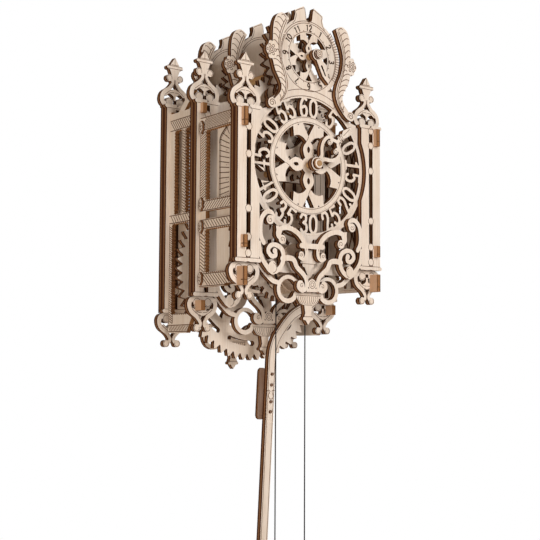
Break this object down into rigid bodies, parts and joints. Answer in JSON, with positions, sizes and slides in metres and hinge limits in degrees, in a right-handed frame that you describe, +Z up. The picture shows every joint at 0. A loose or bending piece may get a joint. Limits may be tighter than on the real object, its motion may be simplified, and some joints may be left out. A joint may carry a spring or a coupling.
{
  "type": "wooden gear clock",
  "caption": "Wall-hung skeleton clock of laser-cut plywood: pierced scrollwork panels in three layers, open gear train, two dials, pendulum and cord-hung weights.",
  "frame": {"origin": "centre of the wall hole at the rear face of the back panel", "axes": "+Y into the wall, -Y out of the dial, +Z up, +X to the viewer's right"},
  "size_m": [0.1238, 0.0961, 0.5027],
  "materials": {
    "panel_ply": "birch plywood, dark laser-cut edges",
    "trim_ply": "birch plywood, engraved, dark laser-cut edges",
    "wheel_ply": "birch plywood, dark laser-cut edges",
    "hand_ply": "birch plywood, dark laser-cut edges",
    "dowel": "turned hardwood dowel, matt",
    "weight_wood": "turned hardwood, satin",
    "cord": "thin braided cord"
  },
  "bodies": {
    "frame": {"front_panel": "panel_ply", "front_column_trim": "trim_ply", "front_scrollwork": "trim_ply", "front_wings": "trim_ply", "minute_ring": "trim_ply", "dial_cross": "trim_ply", "hour_dial": "trim_ply", "mid_panel": "panel_ply", "mid_column_trim": "trim_ply", "mid_scrollwork": "trim_ply", "mid_wings": "trim_ply", "back_panel": "panel_ply", "back_column_trim": "trim_ply", "back_wings": "trim_ply", "left_front_side": "panel_ply", "left_rear_side": "panel_ply", "right_front_side": "panel_ply", "right_rear_side": "panel_ply", "left_fluted_board": "panel_ply", "right_fluted_board": "panel_ply", "crown_braces": "panel_ply", "drum_bridge": "panel_ply", "escapement_bridge": "panel_ply", "bridge_pillars": "dowel"},
    "great": {"great_wheel": "wheel_ply", "great_arbor": "dowel", "drum": "wheel_ply", "ratchet_wheel": "wheel_ply", "click_plate": "wheel_ply"},
    "click": {"click": "wheel_ply"},
    "centre": {"centre_wheel": "wheel_ply", "centre_pinion": "wheel_ply", "centre_arbor": "dowel", "cannon_pinion": "wheel_ply", "minute_hand": "hand_ply"},
    "third": {"third_wheel": "wheel_ply", "third_pinion": "wheel_ply", "third_arbor": "dowel"},
    "fourth": {"fourth_wheel": "wheel_ply", "fourth_pinion": "wheel_ply", "fourth_arbor": "dowel"},
    "escape": {"escape_wheel": "wheel_ply", "escape_pinion": "wheel_ply", "escape_arbor": "dowel"},
    "motion": {"motion_wheel": "wheel_ply", "motion_pinion": "wheel_ply", "motion_arbor": "dowel"},
    "hour": {"hour_wheel": "wheel_ply", "hour_arbor": "dowel", "hour_hand": "hand_ply"},
    "pendulum": {"anchor": "wheel_ply", "pendulum_arbor": "dowel", "pendulum_rod": "hand_ply", "rod_splint": "hand_ply", "bob": "hand_ply"},
    "weight": {"weight": "weight_wood", "weight_cord": "cord"},
    "counterweight": {"counterweight": "weight_wood", "counterweight_cord": "cord"}
  },
  "joints": [
    {"name": "great_turn", "type": "hinge", "parent": "frame", "child": "great", "pos_m": [0, -0.05, -0.15015], "axis": [0, 1, 0], "range_deg": [-192, 192]},
    {"name": "centre_turn", "type": "hinge", "parent": "frame", "child": "centre", "pos_m": [0, -0.05, -0.0847], "axis": [0, 1, 0], "range_deg": [-1440, 1440]},
    {"name": "third_turn", "type": "hinge", "parent": "frame", "child": "third", "pos_m": [-0.01815, -0.05, -0.05326], "axis": [0, 1, 0], "range_deg": [-6480, 6480]},
    {"name": "fourth_turn", "type": "hinge", "parent": "frame", "child": "fourth", "pos_m": [0, -0.05, -0.02183], "axis": [0, 1, 0], "range_deg": [-29160, 29160]},
    {"name": "escape_turn", "type": "hinge", "parent": "frame", "child": "escape", "pos_m": [0.01815, -0.05, -0.05326], "axis": [0, 1, 0], "range_deg": [-131220, 131220]},
    {"name": "motion_turn", "type": "hinge", "parent": "frame", "child": "motion", "pos_m": [-0.01089, -0.05, -0.05249], "axis": [0, 1, 0], "range_deg": [-360, 360]},
    {"name": "hour_turn", "type": "hinge", "parent": "frame", "child": "hour", "pos_m": [0, -0.05, -0.014], "axis": [0, 1, 0], "range_deg": [-120, 120]},
    {"name": "weight_drop", "type": "slide", "parent": "frame", "child": "weight", "axis": [0, 0, 1], "range_m": [-0.0403, 0.0403], "deforming": ["weight_cord"]},
    {"name": "counterweight_rise", "type": "slide", "parent": "frame", "child": "counterweight", "axis": [0, 0, 1], "range_m": [-0.0403, 0.0403], "deforming": ["counterweight_cord"]},
    {"name": "pendulum_swing", "type": "hinge", "parent": "frame", "child": "pendulum", "pos_m": [0, -0.05, -0.0316], "axis": [0, 1, 0], "range_deg": [-3.5, 3.5]},
    {"name": "click_swing", "type": "hinge", "parent": "great", "child": "click", "pos_m": [-0.02443, -0.05, -0.15904], "axis": [0, 1, 0], "range_deg": [0, 8]}
  ],
  "couplings": [
    {"joint": "centre_turn", "follows": "great_turn", "ratio": -7.5},
    {"joint": "third_turn", "follows": "great_turn", "ratio": 33.75},
    {"joint": "fourth_turn", "follows": "great_turn", "ratio": -151.88},
    {"joint": "escape_turn", "follows": "great_turn", "ratio": 683.44},
    {"joint": "motion_turn", "follows": "great_turn", "ratio": 1.875},
    {"joint": "hour_turn", "follows": "great_turn", "ratio": -0.625},
    {"joint": "weight_drop", "follows": "great_turn", "m_per_rad": 0.012},
    {"joint": "counterweight_rise", "follows": "great_turn", "m_per_rad": -0.012}
  ]
}
